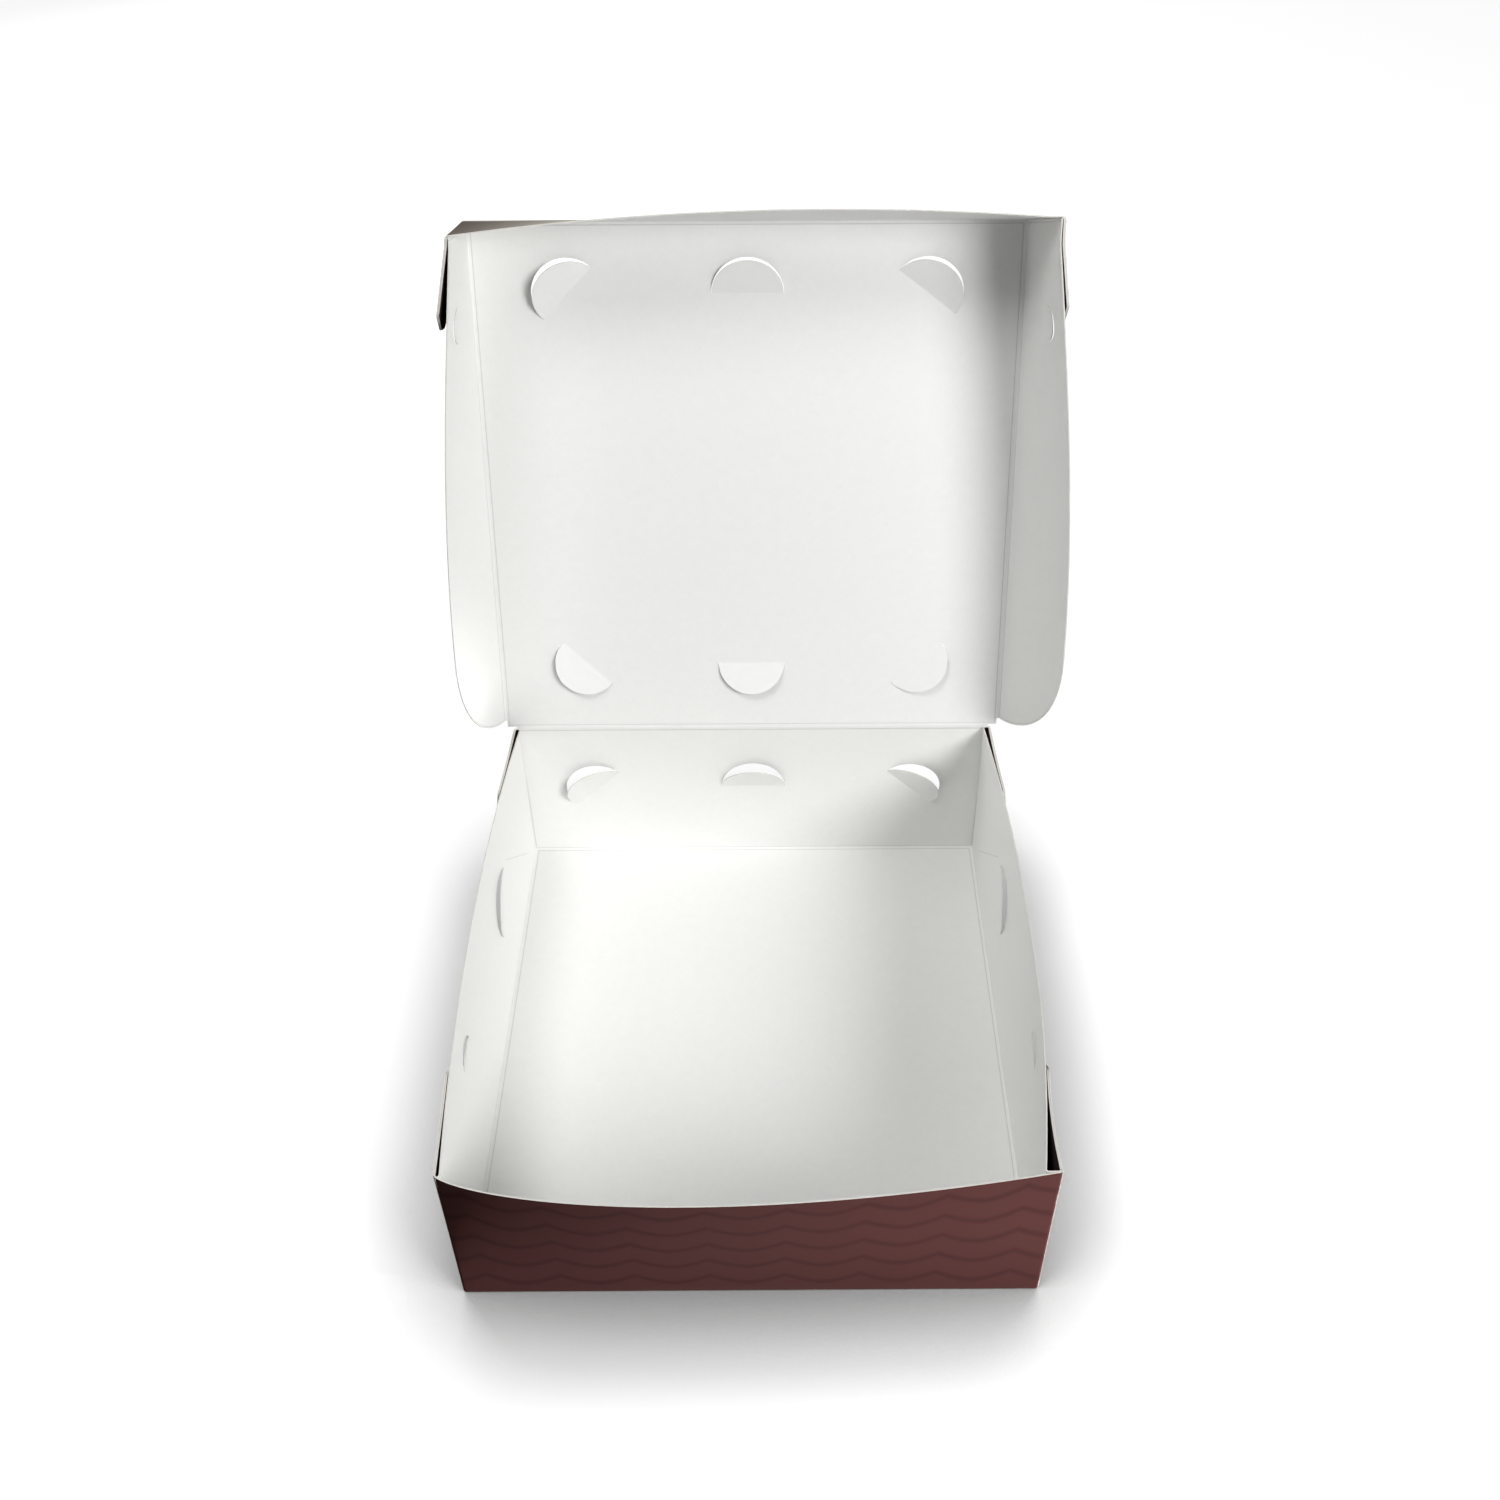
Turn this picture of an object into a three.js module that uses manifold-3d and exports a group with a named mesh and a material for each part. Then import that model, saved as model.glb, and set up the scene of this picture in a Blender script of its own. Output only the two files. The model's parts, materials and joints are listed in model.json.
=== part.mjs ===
// A takeaway box of coated paperboard: a tray with a hinged lid, folded from one blank and standing open.
// Millimetres, +Z up. The origin is the centre of the tray's underside; the front is at -Y, the hinge at +Y.

import * as THREE from 'three';
import { mergeVertices } from 'three/addons/utils/BufferGeometryUtils.js';
import Module from 'manifold-3d';

const wasm = await Module();
wasm.setup();

// Board
const board = 0.45;
const glueLine = 0.25;
const embed = 0.2;

// Tray: outside sizes at the floor
const trayWidth = 198.6;
const trayDepth = 204;
const wallHeight = 75;

// How the tray's free edges have relaxed, measured outwards at the top edge
const frontBow = 11;
const frontBowSkew = 0.75;
const frontLean = 1;
const sideBow = 4.75;
const cornerSpread = 0.8;
const pinchLength = 70;
const pinchFade = 1.5;
const wallPinch = {
  left: { front: 0, back: 0.4 },
  right: { front: 3.4, back: 0.9 },
};
const topEdgeCurl = 1.2;

// Web corners: each ear runs along the free edge, then at 45 degrees down to a blunt tip on its diagonal fold
const earPocketLength = 36;
const trayEarEdge = 37;
const lidEarEdge = 26;
const earTip = 3;
const glueSpot = { fromCorner: 36, length: 9, belowEdge: 17, height: 8 };

// Lid
const lidDepth = 42;
const lidClearance = 0.3;
const lidOpen = THREE.MathUtils.degToRad(103.5);
const lidFrontBow = 5.5;
const lidFrontLean = { left: 3.5, right: 9.5 };
const flapFlare = {
  left: { front: -2, hinge: 9.5 },
  right: { front: 4.7, hinge: 17 },
};
const flareLength = 160;
const lidEarSpring = { left: 2.4, right: 0.5 };
const flapRound = 50;
const flapSetback = 3;

// Half-moon cuts: where the middle of the chord is, which way the moon bulges, how far it is pushed in
const ventRadius = 13.8;
const lockRadius = 7;
const kerf = 0.15;
const cutterReach = 1.8;
const moonSegments = 12;
const ventSpacing = 68;
const backVentHeight = 39;
const backVents = [
  { across: -ventSpacing, up: backVentHeight, bulge: 135, push: 24 },
  { across: 0, up: backVentHeight + 1, bulge: 90, push: 20 },
  { across: ventSpacing, up: backVentHeight, bulge: 45, push: 24 },
];
const sideVentFromBack = 64;
const sideVentHeight = 39.5;
const sideVentPush = 8;
const sideLockFromFront = 58;
const sideLockHeight = 54;
const lidFrontRow = 28;
const lidHingeRow = 31;
const lidVents = [
  { across: -ventSpacing, fromFront: lidFrontRow, bulge: 137, push: 24 },
  { across: 0, fromFront: lidFrontRow, bulge: 90, push: 14 },
  { across: ventSpacing, fromFront: lidFrontRow, bulge: 52, push: 18 },
  { across: -ventSpacing, fromHinge: lidHingeRow, bulge: 225, push: 14 },
  { across: 0, fromHinge: lidHingeRow, bulge: 270, push: 16 },
  { across: ventSpacing, fromHinge: lidHingeRow, bulge: 315, push: 12 },
];
const flapLock = { fromFront: 33, depth: 25, bulge: 90 };
const flapLockPush = { left: 5, right: 6 };
const wallLockPush = 9;

// Sizes that follow from those above
const earStack = glueLine + 2 * board;
const endWallHalf = trayWidth / 2 + earStack;
const earEnd = trayEarEdge / trayDepth;
const earReach = earStack + sideBow * 4 * earEnd * (1 - earEnd);
const lidHalf = trayWidth / 2 + Math.max(sideBow, earReach, earStack + cornerSpread) + lidClearance + board;
const hingeGap = 0.3;
const hinge = new THREE.Vector3(0, trayDepth / 2 - board / 2, wallHeight + hingeGap + board / 2);
const lidLength = hinge.y + trayDepth / 2 + frontLean + frontBow + lidClearance + board;

const sides = { left: -1, right: 1 };
const weldDistance = 1e-5;

// A closed geometry as a solid that can be joined and cut, its faces turned outwards
function solidOf(geometry) {
  const shell = geometry.clone();
  shell.deleteAttribute('normal');
  shell.deleteAttribute('uv');
  const welded = mergeVertices(shell, weldDistance);
  const points = welded.attributes.position.array;
  const triangles = Uint32Array.from(welded.index.array);
  const [a, b, c] = [new THREE.Vector3(), new THREE.Vector3(), new THREE.Vector3()];
  let volume = 0;
  for (let i = 0; i < triangles.length; i += 3) {
    a.fromArray(points, 3 * triangles[i]);
    b.fromArray(points, 3 * triangles[i + 1]);
    c.fromArray(points, 3 * triangles[i + 2]);
    volume += a.dot(b.cross(c));
  }
  if (volume < 0) {
    for (let i = 0; i < triangles.length; i += 3) {
      [triangles[i], triangles[i + 1]] = [triangles[i + 1], triangles[i]];
    }
  }
  return new wasm.Manifold(new wasm.Mesh({ numProp: 3, vertProperties: points, triVerts: triangles }));
}

function geometryOf(solid) {
  const mesh = solid.getMesh();
  const geometry = new THREE.BufferGeometry();
  geometry.setAttribute('position', new THREE.BufferAttribute(mesh.vertProperties, 3));
  geometry.setIndex(new THREE.BufferAttribute(mesh.triVerts, 1));
  const faceted = geometry.toNonIndexed();
  faceted.computeVertexNormals();
  return faceted;
}

function joinAll(solids) {
  return solids.reduce((joined, solid) => joined.add(solid));
}

const mix = THREE.MathUtils.lerp;

// A panel of bent board. surface(a, b, w) gives the point at a along the panel and b up from its crease,
// w outwards from its inside face. outline(u, v) gives [a, b] for u and v from 0 to 1.
function bentBoard(surface, outline, columns, rows, thickness = board) {
  const geometry = new THREE.BoxGeometry(1, 1, 1, columns, rows, 1);
  const position = geometry.attributes.position;
  for (let i = 0; i < position.count; i += 1) {
    const [a, b] = outline(position.getX(i) + 0.5, position.getY(i) + 0.5);
    const point = surface(a, b, (position.getZ(i) + 0.5) * thickness);
    position.setXYZ(i, point.x, point.y, point.z);
  }
  return solidOf(geometry);
}

// The frame of a half-moon on a panel: X along its chord, Y the way it bulges, Z into the box
function moonFrame(surface, a, b, bulge) {
  const middle = surface(a, b, board / 2);
  const along = surface(a + 0.5, b, board / 2).sub(middle).normalize();
  const up = surface(a, b + 0.5, board / 2).sub(middle).normalize();
  const inwards = surface(a, b, 0).sub(surface(a, b, board)).normalize();
  const angle = THREE.MathUtils.degToRad(bulge);
  const out = along.clone().multiplyScalar(Math.cos(angle)).addScaledVector(up, Math.sin(angle));
  const chord = along.multiplyScalar(Math.sin(angle)).addScaledVector(up, -Math.cos(angle));
  return new THREE.Matrix4().makeBasis(chord, out, inwards).setPosition(middle);
}

// Cuts a half-moon through a panel and leaves the tab hanging on its chord, pushed into the box
function pushedMoon(panel, surface, { a, b, radius, bulge, push }) {
  const frame = moonFrame(surface, a, b, bulge);
  const hole = new THREE.Shape().absarc(0, 0, radius, 0, Math.PI);
  const cutter = new THREE.ExtrudeGeometry(hole, {
    depth: 2 * cutterReach, bevelEnabled: false, curveSegments: moonSegments,
  });
  cutter.translate(0, 0, -cutterReach).applyMatrix4(frame);
  const outline = new THREE.Shape().absarc(0, 0, radius - kerf, 0, Math.PI);
  outline.lineTo(kerf - radius, -embed);
  outline.lineTo(radius - kerf, -embed);
  const tab = new THREE.ExtrudeGeometry(outline, {
    depth: board, bevelEnabled: false, curveSegments: moonSegments,
  });
  tab.translate(0, 0, -board / 2).rotateX(THREE.MathUtils.degToRad(push)).applyMatrix4(frame);
  return panel.subtract(solidOf(cutter)).add(solidOf(tab));
}

// Tray walls: outside faces

const rise = (z) => Math.max(0, z / wallHeight) ** topEdgeCurl;

function frontOut(x, z) {
  const u = THREE.MathUtils.clamp(0.5 + x / (2 * endWallHalf), 0, 1) ** frontBowSkew;
  return trayDepth / 2 + (frontLean + frontBow * 4 * u * (1 - u)) * rise(z);
}

function sideOut(side, y, z) {
  const t = THREE.MathUtils.clamp(0.5 + y / trayDepth, 0, 1);
  const front = Math.max(0, 1 - (t * trayDepth) / pinchLength) ** pinchFade;
  const back = Math.max(0, 1 - ((1 - t) * trayDepth) / pinchLength) ** pinchFade;
  const pinch = wallPinch[side].front * front + wallPinch[side].back * back;
  return trayWidth / 2 + (sideBow * 4 * t * (1 - t) - pinch) * rise(z);
}

const endWallOut = (z) => endWallHalf + cornerSpread * rise(z);

const frontSurface = (x, z, w) => new THREE.Vector3(x, -(frontOut(x, z) - board + w), z);
const backSurface = (x, z, w) => new THREE.Vector3(x, trayDepth / 2 - board + w, z);
const sideSurface = (side) => (y, z, w) => (
  new THREE.Vector3(sides[side] * (sideOut(side, y, z) - board + w), y, z)
);

const floorPanel = new THREE.BoxGeometry(trayWidth - board, trayDepth - board, board);
floorPanel.translate(0, 0, board / 2);

function endWall(surface, columns, rows) {
  const outline = (u, v) => {
    const z = v * wallHeight;
    return [(2 * u - 1) * (endWallOut(z) - board / 2), z];
  };
  return bentBoard(surface, outline, columns, rows);
}

const frontWall = endWall(frontSurface, 24, 4);

const backWall = backVents.reduce((wall, { across, up, bulge, push }) => (
  pushedMoon(wall, backSurface, { a: across, b: up, radius: ventRadius, bulge, push })
), endWall(backSurface, 1, 3));

function sideWall(side) {
  const surface = sideSurface(side);
  const outline = (u, v) => {
    const z = v * wallHeight;
    const x = sides[side] * sideOut(side, -trayDepth / 2, z);
    return [mix(-(frontOut(x, z) - board / 2), trayDepth / 2 - board / 2, u), z];
  };
  const wall = bentBoard(surface, outline, 20, 4);
  const vented = pushedMoon(wall, surface, {
    a: trayDepth / 2 - sideVentFromBack, b: sideVentHeight, radius: ventRadius, bulge: 135, push: sideVentPush,
  });
  return pushedMoon(vented, surface, {
    a: sideLockFromFront - trayDepth / 2, b: sideLockHeight, radius: lockRadius, bulge: 90, push: wallLockPush,
  });
}

// The outline of an ear folded from a web corner as high as its walls: up from the diagonal fold to the free
// edge, or to the 45-degree end that starts where the ear's own edge stops
function earOutline(height, edge) {
  const length = (height + edge - earTip) / 2;
  return (u, v) => {
    const t = u * length;
    return [t, mix(t, Math.min(height, height + edge - t), v)];
  };
}

// A tray ear: the folded double layer, standing off the side wall at the corner and glued to it further along
function trayEar(side, end) {
  const cornerY = end * (trayDepth / 2);
  const surface = (t, z, w) => {
    const start = end < 0 ? -(frontOut(sides[side] * endWallHalf, z) - board / 2) : cornerY - board / 2;
    const y = mix(start, cornerY - end * wallHeight, t / wallHeight);
    const pocket = endWallOut(z) - earStack - sideOut(side, cornerY, z);
    const open = pocket * Math.max(0, 1 - t / earPocketLength) ** 2;
    return new THREE.Vector3(sides[side] * (sideOut(side, y, z) + glueLine + open + w), y, z);
  };
  return bentBoard(surface, earOutline(wallHeight, trayEarEdge), 12, 3, 2 * board);
}

// The spot of glue that holds an ear against its side wall
function trayGlue(side, end) {
  const surface = (t, z, w) => {
    const y = end * (trayDepth / 2 - t);
    return new THREE.Vector3(sides[side] * (sideOut(side, y, z) - board / 2 + w), y, z);
  };
  const top = wallHeight - glueSpot.belowEdge;
  const outline = (u, v) => [glueSpot.fromCorner + u * glueSpot.length, mix(top - glueSpot.height, top, v)];
  return bentBoard(surface, outline, 1, 1, board + glueLine);
}

const trayPanels = [solidOf(floorPanel), frontWall, backWall];
for (const side of Object.keys(sides)) {
  trayPanels.push(sideWall(side));
  for (const end of [-1, 1]) {
    trayPanels.push(trayEar(side, end), trayGlue(side, end));
  }
}
const traySolid = joinAll(trayPanels);

// Lid, drawn closed: the crease at the origin, the panel towards -Y, its walls hanging down

const hang = (depth) => Math.max(0, depth / lidDepth);

function lidFrontOut(x, depth) {
  const u = THREE.MathUtils.clamp(0.5 + x / (2 * lidHalf), 0, 1);
  const lean = mix(lidFrontLean.left, lidFrontLean.right, u) + lidFrontBow * 4 * u * (1 - u);
  return lidLength + lean * hang(depth);
}

function flapOut(side, length, depth) {
  const t = THREE.MathUtils.clamp((lidLength - length) / flareLength, 0, 1);
  const flare = mix(flapFlare[side].front, flapFlare[side].hinge, Math.sin((t * Math.PI) / 2));
  return lidHalf + flare * hang(depth);
}

const lidPanelSurface = (x, length, w) => new THREE.Vector3(x, -length, w - board / 2);
const lidFrontSurface = (x, depth, w) => new THREE.Vector3(x, -(lidFrontOut(x, depth) - board + w), -depth);
const flapSurface = (side) => (length, depth, w) => (
  new THREE.Vector3(sides[side] * (flapOut(side, length, depth) - board + w), -length, -depth)
);

const panelOutline = (u, v) => [(2 * u - 1) * (lidHalf - board / 2), v * (lidLength - board / 2)];

const lidPanel = lidVents.reduce((panel, { across, fromFront, fromHinge, bulge, push }) => (
  pushedMoon(panel, lidPanelSurface, {
    a: across, b: fromHinge ?? lidLength - fromFront, radius: ventRadius, bulge, push,
  })
), bentBoard(lidPanelSurface, panelOutline, 1, 1));

const lidFrontOutline = (u, v) => {
  const depth = mix(-board / 2, lidDepth, v);
  const left = flapOut('left', lidLength, depth) + earStack - board / 2;
  const right = flapOut('right', lidLength, depth) + earStack - board / 2;
  return [mix(-left, right, u), depth];
};
const lidFront = bentBoard(lidFrontSurface, lidFrontOutline, 20, 3);

function lidFlap(side) {
  const surface = flapSurface(side);
  const outline = (u, v) => {
    const depth = mix(-board / 2, lidDepth, Math.sin((v * Math.PI) / 2));
    const start = flapSetback + flapRound - Math.sqrt(flapRound ** 2 - (depth - lidDepth + flapRound) ** 2);
    const end = lidFrontOut(sides[side] * flapOut(side, lidLength, depth), depth) - board / 2;
    return [mix(start, end, u), depth];
  };
  return pushedMoon(bentBoard(surface, outline, 16, 7), surface, {
    a: lidLength - flapLock.fromFront, b: flapLock.depth, radius: lockRadius, bulge: flapLock.bulge,
    push: flapLockPush[side],
  });
}

// A lid ear: the folded double layer along the outside of a flap, springing off it towards the tip
function lidEar(side) {
  const surface = (t, depth, w) => {
    const start = lidFrontOut(sides[side] * lidHalf, depth) - board / 2;
    const along = mix(start, lidLength - lidDepth, t / lidDepth);
    const sprung = lidEarSpring[side] * (t / lidEarEdge) * hang(depth);
    return new THREE.Vector3(sides[side] * (flapOut(side, along, depth) + glueLine + sprung + w), -along, -depth);
  };
  return bentBoard(surface, earOutline(lidDepth, lidEarEdge), 8, 3, 2 * board);
}

const lidPanels = [lidPanel, lidFront];
for (const side of Object.keys(sides)) {
  lidPanels.push(lidFlap(side), lidEar(side));
}
const lidSolid = joinAll(lidPanels);

const printedBoard = new THREE.MeshStandardMaterial({ color: 0x4a2e2c, roughness: 0.62, metalness: 0 });
const whiteBoard = new THREE.MeshStandardMaterial({ color: 0xf0f0ee, roughness: 0.7, metalness: 0 });

const box = new THREE.Group();

const tray = new THREE.Mesh(geometryOf(traySolid), printedBoard);
tray.name = 'tray';
box.add(tray);

const lidHinge = new THREE.Group();
lidHinge.position.copy(hinge);
lidHinge.rotation.x = -lidOpen;
const lid = new THREE.Mesh(geometryOf(lidSolid), whiteBoard);
lid.name = 'lid';
lidHinge.add(lid);
box.add(lidHinge);

export default box;
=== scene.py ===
"""A takeaway box of coated paperboard, folded from one die-cut blank and standing open on a white table.

The tray and the lid are sheets of board 0.45 mm thick, bent where the real ones are. Metres, in the frame
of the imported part: the origin is under the middle of the tray's floor, the front is at -Y and the hinge
is at +Y.
"""

import json
import math

import bmesh
import bpy
from mathutils import Matrix, Vector


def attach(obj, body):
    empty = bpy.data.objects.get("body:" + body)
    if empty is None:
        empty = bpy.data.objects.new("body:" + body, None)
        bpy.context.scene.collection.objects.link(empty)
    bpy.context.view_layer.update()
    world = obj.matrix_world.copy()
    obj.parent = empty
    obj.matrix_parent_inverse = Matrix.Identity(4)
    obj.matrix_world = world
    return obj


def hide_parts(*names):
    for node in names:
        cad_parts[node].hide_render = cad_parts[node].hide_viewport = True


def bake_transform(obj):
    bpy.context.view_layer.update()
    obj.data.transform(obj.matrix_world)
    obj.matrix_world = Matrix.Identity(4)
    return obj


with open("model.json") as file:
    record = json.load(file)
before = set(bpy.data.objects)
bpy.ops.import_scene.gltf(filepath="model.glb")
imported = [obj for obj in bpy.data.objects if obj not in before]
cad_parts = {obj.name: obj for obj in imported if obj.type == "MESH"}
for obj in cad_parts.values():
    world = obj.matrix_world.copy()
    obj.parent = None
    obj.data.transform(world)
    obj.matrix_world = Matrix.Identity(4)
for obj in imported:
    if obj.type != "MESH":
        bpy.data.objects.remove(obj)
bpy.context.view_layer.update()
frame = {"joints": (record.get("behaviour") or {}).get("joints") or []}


# Floor of the tray
# The middle panel of the blank, coated paperboard 0.45 mm thick, white inside and printed outside. It lies
# flat on the table, and the four walls turn up from it at pressed creases.

hinge = Vector(frame["joints"][0]["pos_m"])
board = 0.00045
half_width = 0.0993
half_depth = hinge.y + board / 2
wall_height = 0.075
crease_radius = 0.0008
front_lean = 0.001
front_bow = 0.011
side_bow = 0.00475
lid_clearance = 0.0003
lid_half = half_width + side_bow + lid_clearance + board
lid_length = hinge.y + half_depth + front_lean + front_bow + lid_clearance + board


def linear(code):
    """An sRGB hex colour as linear red, green, blue and alpha."""
    channels = [int(code[i:i + 2], 16) / 255 for i in (1, 3, 5)]
    return [c / 12.92 if c <= 0.04045 else ((c + 0.055) / 1.055) ** 2.4 for c in channels] + [1.0]


def add(tree, kind, inputs=None, **settings):
    """Adds a node. An input is linked where its value is another node's output, and else it is set."""
    made = tree.nodes.new(kind)
    for name, value in settings.items():
        setattr(made, name, value)
    for name, value in (inputs or {}).items():
        if isinstance(value, bpy.types.NodeSocket):
            tree.links.new(value, made.inputs[name])
        else:
            made.inputs[name].default_value = value
    return made


def work_out(tree, operation, *values):
    """The result of one operation on numbers and other nodes' outputs."""
    return add(tree, "ShaderNodeMath", dict(enumerate(values)), operation=operation).outputs[0]


def tint(tree, share, a, b):
    """A colour between two others, each a hex code or another node's output."""
    a, b = (linear(colour) if isinstance(colour, str) else colour for colour in (a, b))
    return add(tree, "ShaderNodeMix", {"Factor": share, "A": a, "B": b}, data_type="RGBA").outputs["Result"]


def fade(tree, distance, start, end):
    """1 where a distance is below the start, 0 where it is past the end, and a smooth run between."""
    limits = {"Value": distance, "From Min": start, "From Max": end, "To Min": 1.0, "To Max": 0.0}
    return add(tree, "ShaderNodeMapRange", limits, interpolation_type="SMOOTHSTEP").outputs["Result"]


def noise(tree, place, scale, detail, **inputs):
    settings = {"Vector": place, "Scale": scale, "Detail": detail}
    return add(tree, "ShaderNodeTexNoise", settings | inputs).outputs["Fac"]


def bump(tree, height, strength, distance, **inputs):
    settings = {"Height": height, "Strength": strength, "Distance": distance}
    return add(tree, "ShaderNodeBump", settings | inputs).outputs["Normal"]


def new_material(name):
    """A material and its node tree, still empty."""
    material = bpy.data.materials.new(name)
    material.use_nodes = True
    material.node_tree.nodes.clear()
    return material, material.node_tree


def mix(a, b, share):
    return a + (b - a) * share


# Clay-coated white side: matt and smooth. It shows the cloudiness of the fibres under the coating and their
# run along the board, and a bead at each crease, raised by bump. Painted shade darkens a fine line on both
# sides of each bead and, on the side walls, a line over the diagonal edge of the ear that is glued behind.
crease_bead = 0.0009
crease_bead_flat = 0.6
crease_shade_width = 0.00035
imprint_line = 0.0003
imprint_low = 0.017
imprint_high = 0.049
ear_shade_share = 0.6
painted_shade_share = 0.45


def crease_bead_and_shade(tree, across, along):
    """The bead along each crease of the blank, as a height for the bump, and a painted shade line on both
    sides of it.
    """
    wall_top = half_depth + wall_height
    on_lid = work_out(tree, "GREATER_THAN", along, wall_top)
    crease_across = work_out(tree, "MULTIPLY_ADD", on_lid, lid_half - half_width, half_width)
    nearest = work_out(tree, "ABSOLUTE", work_out(tree, "SUBTRACT", across, crease_across))
    for crease_along in (-half_depth, half_depth, wall_top, wall_top + lid_length):
        away = work_out(tree, "ABSOLUTE", work_out(tree, "SUBTRACT", along, crease_along))
        nearest = work_out(tree, "MINIMUM", nearest, away)
    beside = work_out(tree, "ABSOLUTE", work_out(tree, "SUBTRACT", nearest, crease_bead))
    raised = fade(tree, nearest, crease_bead * crease_bead_flat, crease_bead)
    return raised, fade(tree, beside, 0.0, crease_shade_width)


def ear_diagonal_shade(tree, across, along):
    """A painted shade line on a side wall over the folded edge of the ear behind it, at the back."""
    height = work_out(tree, "SUBTRACT", across, half_width)
    from_back = work_out(tree, "SUBTRACT", half_depth, along)
    on_diagonal = work_out(tree, "COMPARE", height, from_back, imprint_line)
    above_low = work_out(tree, "GREATER_THAN", height, imprint_low)
    below_high = work_out(tree, "LESS_THAN", height, imprint_high)
    between = work_out(tree, "MULTIPLY", work_out(tree, "MULTIPLY", on_diagonal, above_low), below_high)
    return work_out(tree, "MULTIPLY", between, ear_shade_share)


coated_white, tree = new_material("clay coated white board")
blank_place = add(tree, "ShaderNodeUVMap", uv_map="blank").outputs["UV"]
blank_parts = add(tree, "ShaderNodeSeparateXYZ", {"Vector": blank_place}).outputs
across = work_out(tree, "ABSOLUTE", blank_parts["X"])
fibre_run = add(tree, "ShaderNodeMapping", {"Vector": blank_place, "Scale": (1800.0, 420.0, 1.0)})
cloudy = tint(tree, noise(tree, blank_place, 240.0, 5.0, Roughness=0.65), "#e9e9e7", "#f5f5f3")
fibrous = tint(tree, noise(tree, fibre_run.outputs["Vector"], 1.0, 3.0), "#e9e9e7", "#f5f5f3")
bead, line = crease_bead_and_shade(tree, across, blank_parts["Y"])
# Painted shade: the white darkens along a fine line beside each crease bead and over each back ear's diagonal
# edge.
painted_shade_lines = work_out(tree, "MAXIMUM", line, ear_diagonal_shade(tree, across, blank_parts["Y"]))
painted_shade_amount = work_out(tree, "MULTIPLY", painted_shade_lines, painted_shade_share)
white_tone = tint(tree, painted_shade_amount, tint(tree, 0.5, cloudy, fibrous), "#a8a8a4")
grain = bump(tree, noise(tree, blank_place, 2600.0, 2.0), 0.1, 0.0001)
white_shader = add(tree, "ShaderNodeBsdfPrincipled", {"Base Color": white_tone, "Roughness": 0.62, "IOR": 1.5,
                                                      "Normal": bump(tree, bead, 0.5, 0.0003, Normal=grain)})
add(tree, "ShaderNodeOutputMaterial", {"Surface": white_shader.outputs["BSDF"]})

# Offset print over the coating: dark brown ink under a water-based varnish, half matt. The shader has no
# specular; the varnish's sheen is painted, as a pale tone that the colour turns to where the face is seen at
# a grazing angle. Rows of waves run across the whole blank in a slightly darker tone, rounded in their
# troughs and sharper at their peaks.
wave_length = 0.0257
wave_height = 0.0063
wave_spacing = 0.01405
wave_peak = 0.012
wave_line = 0.0028
wave_sharpness = 1.6
painted_sheen_falloff = 14.0

printed_brown, tree = new_material("brown print with painted sheen")
blank_place = add(tree, "ShaderNodeUVMap", uv_map="blank").outputs["UV"]
blank_parts = add(tree, "ShaderNodeSeparateXYZ", {"Vector": blank_place}).outputs
crossing = work_out(tree, "ADD", blank_parts["X"], wave_length / 2 - wave_peak)
zigzag = work_out(tree, "PINGPONG", crossing, wave_length / 2)
crest = work_out(tree, "POWER", work_out(tree, "DIVIDE", zigzag, wave_length / 2), wave_sharpness)
swell = work_out(tree, "MULTIPLY_ADD", crest, wave_height, blank_parts["Y"])
lowest_line = work_out(tree, "ADD", swell, half_depth - wave_height)
from_line = work_out(tree, "PINGPONG", lowest_line, wave_spacing / 2)
print_tone = tint(tree, fade(tree, from_line, 0.0, wave_line), "#3a2322", "#331e1e")
# Painted sheen: the print's colour pales towards grazing angles in place of a reflection.
facing_away = add(tree, "ShaderNodeLayerWeight", {"Blend": 0.5}).outputs["Facing"]
painted_sheen = work_out(tree, "POWER", facing_away, painted_sheen_falloff)
print_shader = add(tree, "ShaderNodeBsdfPrincipled", {
    "Base Color": tint(tree, painted_sheen, print_tone, "#dcd8cc"), "Roughness": 0.5, "IOR": 1.5,
    "Specular IOR Level": 0.0, "Normal": bump(tree, noise(tree, blank_place, 900.0, 3.0), 0.06, 0.0001)})
add(tree, "ShaderNodeOutputMaterial", {"Surface": print_shader.outputs["BSDF"]})

# Die-cut edge: bare fibres between the two faces, a little darker than the coating
cut_edge, tree = new_material("die-cut fibre edge")
edge_place = add(tree, "ShaderNodeTexCoord").outputs["Object"]
edge_tone = tint(tree, noise(tree, edge_place, 1500.0, 3.0), "#cbc8c1", "#e9e7e2")
edge_shader = add(tree, "ShaderNodeBsdfPrincipled", {"Base Color": edge_tone, "Roughness": 0.85, "IOR": 1.5})
add(tree, "ShaderNodeOutputMaterial", {"Surface": edge_shader.outputs["BSDF"]})

# The materials of a sheet: the white inside comes first, then these
print_face = 1
edge_face = 2
smooth_up_to = math.radians(50)


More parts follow.
